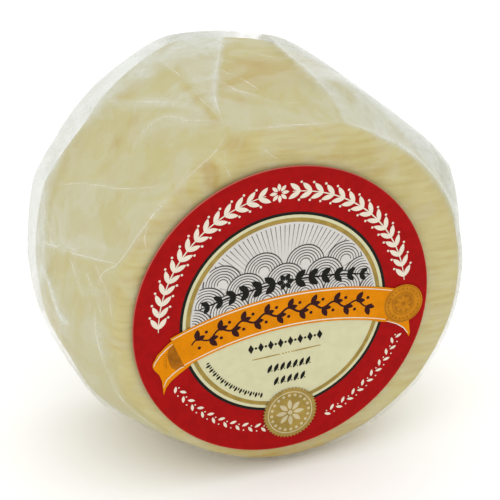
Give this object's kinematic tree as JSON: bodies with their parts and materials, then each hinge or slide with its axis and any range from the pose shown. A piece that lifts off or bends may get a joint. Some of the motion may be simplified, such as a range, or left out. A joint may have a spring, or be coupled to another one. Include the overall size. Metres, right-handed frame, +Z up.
{
  "type": "brie wheel",
  "caption": "Small round brie cheese wrapped in clear film, with a round paper label on its face, standing on its rim.",
  "frame": {"origin": "middle of the box on the surface that the wheel stands on", "axes": "+Z up, the labelled face looks toward -Y, the gathered back of the film toward +Y"},
  "size_m": [0.0696, 0.0382, 0.0667],
  "materials": {
    "film_wrap": "clear glossy film over a pale cream rind",
    "label_paper": "coated paper, printed red, black, cream and gold"
  },
  "bodies": {
    "root": {"wrapped_wheel": "film_wrap", "front_label": "label_paper"}
  },
  "joints": []
}
